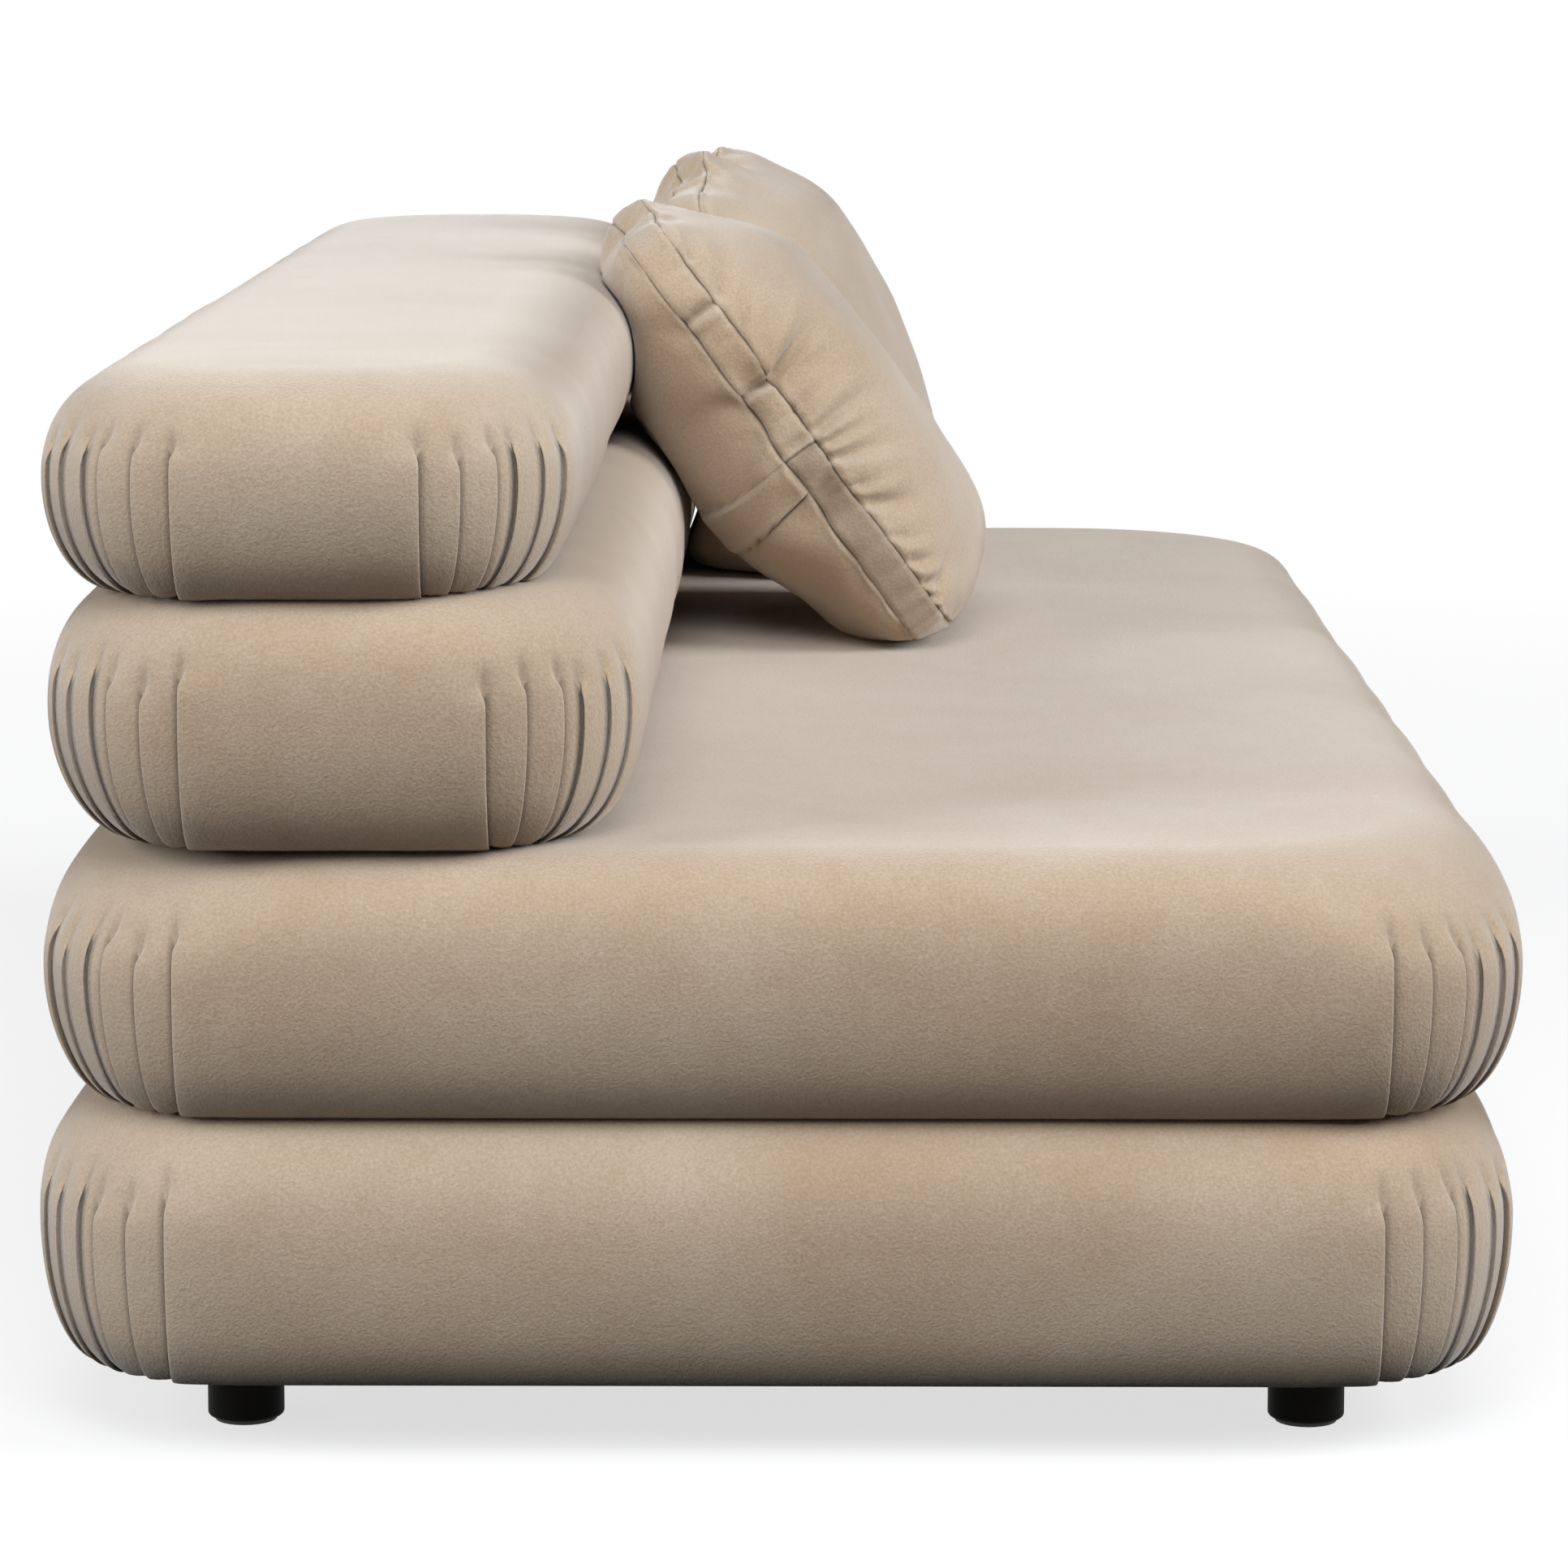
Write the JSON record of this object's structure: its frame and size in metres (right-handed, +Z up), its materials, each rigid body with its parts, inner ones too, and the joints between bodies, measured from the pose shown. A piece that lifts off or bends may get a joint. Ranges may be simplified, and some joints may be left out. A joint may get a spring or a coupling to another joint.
{
  "type": "armless loveseat",
  "caption": "Low armless loveseat of stacked, rounded velvet slabs with pleated corners and a rolled back, on short round black legs, with loose box cushions that lift off.",
  "frame": {"origin": "on the floor, under the middle of the plan", "axes": "+X along the seat towards the end with the loose cushions, -Y out of the front, +Z up"},
  "size_m": [2.1, 1.0029, 0.8094],
  "materials": {
    "velvet": "matte",
    "foam": "matte",
    "pine": "matte",
    "plywood": "matte",
    "black_wood": "satin",
    "zinc_steel": "satin",
    "spring_steel": "satin",
    "nylon": "matte",
    "felt": "matte",
    "dust_cloth": "matte",
    "fibre_fill": "matte",
    "zip_tape": "matte"
  },
  "bodies": {
    "seat_and_back": {"base_cover": "velvet", "seat_cover": "velvet", "lower_back_cover": "velvet", "upper_back_cover": "velvet", "base_foam": "foam", "seat_foam": "foam", "lower_back_foam": "foam", "upper_back_foam": "foam", "corner_block_front_left": "pine", "corner_block_front_right": "pine", "corner_block_rear_left": "pine", "corner_block_rear_right": "pine", "base_rail_front": "pine", "base_rail_rear": "pine", "base_rail_left": "pine", "base_rail_right": "pine", "cross_rail_left": "pine", "cross_rail_right": "pine", "base_deck": "plywood", "dust_cover": "dust_cloth", "seat_rail_front": "pine", "seat_rail_rear": "pine", "seat_rail_left": "pine", "seat_rail_right": "pine", "seat_spring_1": "spring_steel", "seat_spring_2": "spring_steel", "seat_spring_3": "spring_steel", "seat_spring_4": "spring_steel", "seat_spring_5": "spring_steel", "seat_spring_6": "spring_steel", "spring_felt": "felt", "lower_back_board": "plywood", "upper_back_board": "plywood", "back_post_left": "pine", "back_post_right": "pine", "post_bolt_left_lower": "zinc_steel", "post_bolt_left_upper": "zinc_steel", "post_bolt_right_lower": "zinc_steel", "post_bolt_right_upper": "zinc_steel", "leg_front_left": "black_wood", "leg_front_right": "black_wood", "leg_rear_left": "black_wood", "leg_rear_right": "black_wood", "leg_bolt_front_left": "zinc_steel", "leg_bolt_front_right": "zinc_steel", "leg_bolt_rear_left": "zinc_steel", "leg_bolt_rear_right": "zinc_steel", "foot_glide_front_left": "nylon", "foot_glide_front_right": "nylon", "foot_glide_rear_left": "nylon", "foot_glide_rear_right": "nylon"},
    "near_cushion": {"near_cushion_cover": "velvet", "near_cushion_insert": "fibre_fill", "near_cushion_zip": "zip_tape"},
    "far_cushion": {"far_cushion_cover": "velvet", "far_cushion_insert": "fibre_fill", "far_cushion_zip": "zip_tape"}
  },
  "joints": [
    {"name": "near_cushion_lift", "type": "slide", "parent": "seat_and_back", "child": "near_cushion", "axis": [0, 0, 1], "range_m": [0, 0.45]},
    {"name": "far_cushion_lift", "type": "slide", "parent": "seat_and_back", "child": "far_cushion", "axis": [0, 0, 1], "range_m": [0, 0.45]}
  ]
}
